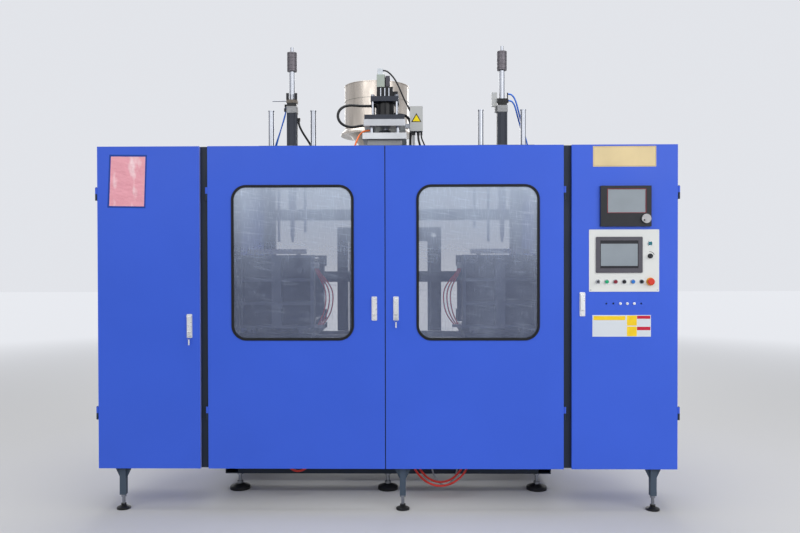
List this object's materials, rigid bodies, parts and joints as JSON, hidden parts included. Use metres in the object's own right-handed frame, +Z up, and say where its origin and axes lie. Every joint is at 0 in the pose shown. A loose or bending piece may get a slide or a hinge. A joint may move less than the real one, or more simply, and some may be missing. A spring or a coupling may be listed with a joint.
{
  "type": "blow moulding machine",
  "caption": "Double-station extrusion blow moulding machine: blue door front with windows and controls, shuttle clamps, blow units, parison head, extruder and hopper.",
  "frame": {"origin": "on the floor below the split of the two main doors, half way from front to rear", "axes": "+X to the right seen from the front, +Y towards the rear, +Z up"},
  "size_m": [3.616, 3.341, 3.15],
  "materials": {
    "blue_paint": "smooth satin sheet-metal paint",
    "frame_paint": "dark blue-grey machine paint",
    "clamp_paint": "grey machine paint on castings",
    "machined_steel": "ground and milled",
    "chrome": "bright",
    "aluminium": "milled",
    "black_steel": "black oxide and black paint",
    "rubber": "matt black rubber",
    "acrylic": "clear sheet with scratches",
    "panel_white": "white panel",
    "black_plastic": "moulded black housing",
    "green_plastic": "push button",
    "red_plastic": "push button and emergency stop",
    "blue_plastic": "push button",
    "red_hose": "red air hose",
    "stainless": "stainless sheet",
    "motor_paint": "motor grey",
    "gear_paint": "painted cast housing",
    "mica_band": "heater band sheet",
    "zinc_plate": "zinc-plated plate with devices",
    "red_gate": "slide gate"
  },
  "bodies": {
    "root": {"base_frame": "frame_paint", "levelling_feet": "rubber", "front_frame": "frame_paint", "left_cabinet": "blue_paint", "control_cabinet": "blue_paint", "side_guards": "blue_paint", "slide_rails": "machined_steel", "shift_cylinders": "black_steel", "bracket_plates": "clamp_paint", "blow_cylinders": "clamp_paint", "die_head": "machined_steel", "heater_bands": "mica_band", "yoke_plates": "aluminium", "parison_cylinder": "black_steel", "servo_valve": "aluminium", "junction_box": "panel_white", "extruder_barrel": "machined_steel", "gearbox": "gear_paint", "drive_motor": "motor_paint", "hopper": "stainless", "hydraulic_unit": "frame_paint", "electrical_gear": "zinc_plate", "hoses": "red_hose"},
    "left_door": {"left_door": "blue_paint"},
    "main_left": {"main_door_left": "blue_paint", "left_window": "acrylic", "left_seal": "rubber"},
    "main_right": {"main_door_right": "blue_paint", "right_window": "acrylic", "right_seal": "rubber"},
    "control": {"control_door": "blue_paint", "control_panel": "panel_white", "touch_screen": "black_plastic", "parison_controller": "black_plastic"},
    "left_lever": {"left_lever": "chrome"},
    "main_lever_left": {"main_lever_left": "chrome"},
    "main_lever_right": {"main_lever_right": "chrome"},
    "control_lever": {"control_lever": "chrome"},
    "controller_dial": {"controller_dial": "aluminium"},
    "green_button": {"green_button": "green_plastic"},
    "red_button": {"red_button": "red_plastic"},
    "blue_button": {"blue_button": "blue_plastic"},
    "mode_selector": {"mode_selector": "black_plastic"},
    "jog_selector": {"jog_selector": "black_plastic"},
    "key_switch": {"key_switch": "chrome"},
    "speed_knob": {"speed_knob": "black_plastic"},
    "emergency_stop": {"emergency_stop": "red_plastic"},
    "left_carriage": {"left_carriage": "frame_paint"},
    "left_front": {"left_front_platen": "clamp_paint", "left_hoses": "red_hose"},
    "left_rear": {"left_rear_platen": "clamp_paint"},
    "right_carriage": {"right_carriage": "frame_paint"},
    "right_front": {"right_front_platen": "clamp_paint", "right_hoses": "red_hose"},
    "right_rear": {"right_rear_platen": "clamp_paint"},
    "left_blow": {"left_blow_slide": "chrome"},
    "right_blow": {"right_blow_slide": "chrome"},
    "mandrel": {"mandrel": "machined_steel"},
    "extruder_screw": {"extruder_screw": "machined_steel"},
    "hopper_gate": {"hopper_gate": "red_gate"}
  },
  "joints": [
    {"name": "left_door_hinge", "type": "hinge", "parent": "root", "child": "left_door", "pos_m": [-1.7945, -1.6225, 0.266], "axis": [0, 0, 1], "range_deg": [-110, 0]},
    {"name": "main_left_hinge", "type": "hinge", "parent": "root", "child": "main_left", "pos_m": [-1.1085, -1.6225, 0.266], "axis": [0, 0, 1], "range_deg": [-110, 0]},
    {"name": "main_right_hinge", "type": "hinge", "parent": "root", "child": "main_right", "pos_m": [1.1085, -1.6225, 0.266], "axis": [0, 0, 1], "range_deg": [0, 110]},
    {"name": "control_door_hinge", "type": "hinge", "parent": "root", "child": "control", "pos_m": [1.8065, -1.6225, 0.266], "axis": [0, 0, 1], "range_deg": [0, 110]},
    {"name": "left_lever_flip", "type": "hinge", "parent": "left_door", "child": "left_lever", "pos_m": [-1.214, -1.6385, 1.213], "axis": [1, 0, 0], "range_deg": [-60, 0]},
    {"name": "main_lever_left_flip", "type": "hinge", "parent": "main_left", "child": "main_lever_left", "pos_m": [-0.067, -1.6385, 1.32], "axis": [1, 0, 0], "range_deg": [-60, 0]},
    {"name": "main_lever_right_flip", "type": "hinge", "parent": "main_right", "child": "main_lever_right", "pos_m": [0.067, -1.6385, 1.32], "axis": [1, 0, 0], "range_deg": [-60, 0]},
    {"name": "control_lever_flip", "type": "hinge", "parent": "control", "child": "control_lever", "pos_m": [1.214, -1.6385, 1.345], "axis": [1, 0, 0], "range_deg": [-60, 0]},
    {"name": "dial_turn", "type": "hinge", "parent": "control", "child": "controller_dial", "pos_m": [1.598, -1.648, 1.81], "axis": [0, 1, 0], "continuous": true},
    {"name": "green_button_press", "type": "slide", "parent": "control", "child": "green_button", "axis": [0, 1, 0], "range_m": [0, 0.005], "stiffness_N_per_m": 400},
    {"name": "red_button_press", "type": "slide", "parent": "control", "child": "red_button", "axis": [0, 1, 0], "range_m": [0, 0.005], "stiffness_N_per_m": 400},
    {"name": "blue_button_press", "type": "slide", "parent": "control", "child": "blue_button", "axis": [0, 1, 0], "range_m": [0, 0.005], "stiffness_N_per_m": 400},
    {"name": "mode_selector_turn", "type": "hinge", "parent": "control", "child": "mode_selector", "pos_m": [1.469, -1.633, 1.4235], "axis": [0, 1, 0], "range_deg": [-45, 45]},
    {"name": "jog_selector_turn", "type": "hinge", "parent": "control", "child": "jog_selector", "pos_m": [1.576, -1.633, 1.4235], "axis": [0, 1, 0], "range_deg": [-45, 45]},
    {"name": "key_switch_turn", "type": "hinge", "parent": "control", "child": "key_switch", "pos_m": [1.3085, -1.633, 1.4235], "axis": [0, 1, 0], "range_deg": [0, 90]},
    {"name": "speed_knob_turn", "type": "hinge", "parent": "control", "child": "speed_knob", "pos_m": [1.6275, -1.633, 1.581], "axis": [0, 1, 0], "range_deg": [-135, 135]},
    {"name": "emergency_stop_press", "type": "slide", "parent": "control", "child": "emergency_stop", "axis": [0, 1, 0], "range_m": [0, 0.0055], "stiffness_N_per_m": 600},
    {"name": "left_shuttle", "type": "slide", "parent": "root", "child": "left_carriage", "axis": [1, 0, 0], "range_m": [0, 0.75]},
    {"name": "left_clamp", "type": "slide", "parent": "left_carriage", "child": "left_front", "axis": [0, 1, 0], "range_m": [0, 0.1]},
    {"name": "left_clamp_rear", "type": "slide", "parent": "left_carriage", "child": "left_rear", "axis": [0, 1, 0], "range_m": [-0.1, 0]},
    {"name": "right_shuttle", "type": "slide", "parent": "root", "child": "right_carriage", "axis": [1, 0, 0], "range_m": [-0.81, 0.052]},
    {"name": "right_clamp", "type": "slide", "parent": "right_carriage", "child": "right_front", "axis": [0, 1, 0], "range_m": [0, 0.1]},
    {"name": "right_clamp_rear", "type": "slide", "parent": "right_carriage", "child": "right_rear", "axis": [0, 1, 0], "range_m": [-0.1, 0]},
    {"name": "left_blow_stroke", "type": "slide", "parent": "root", "child": "left_blow", "axis": [0, 0, 1], "range_m": [-0.2, 0]},
    {"name": "right_blow_stroke", "type": "slide", "parent": "root", "child": "right_blow", "axis": [0, 0, 1], "range_m": [-0.2, 0]},
    {"name": "mandrel_stroke", "type": "slide", "parent": "root", "child": "mandrel", "axis": [0, 0, 1], "range_m": [-0.01, 0.01]},
    {"name": "screw_spin", "type": "hinge", "parent": "root", "child": "extruder_screw", "pos_m": [-0.03, -0.69, 2.14], "axis": [0, 1, 0], "continuous": true},
    {"name": "gate_slide", "type": "slide", "parent": "root", "child": "hopper_gate", "axis": [1, 0, 0], "range_m": [-0.065, 0]}
  ],
  "couplings": [
    {"joint": "left_clamp_rear", "follows": "left_clamp", "ratio": -1},
    {"joint": "right_clamp_rear", "follows": "right_clamp", "ratio": -1}
  ]
}
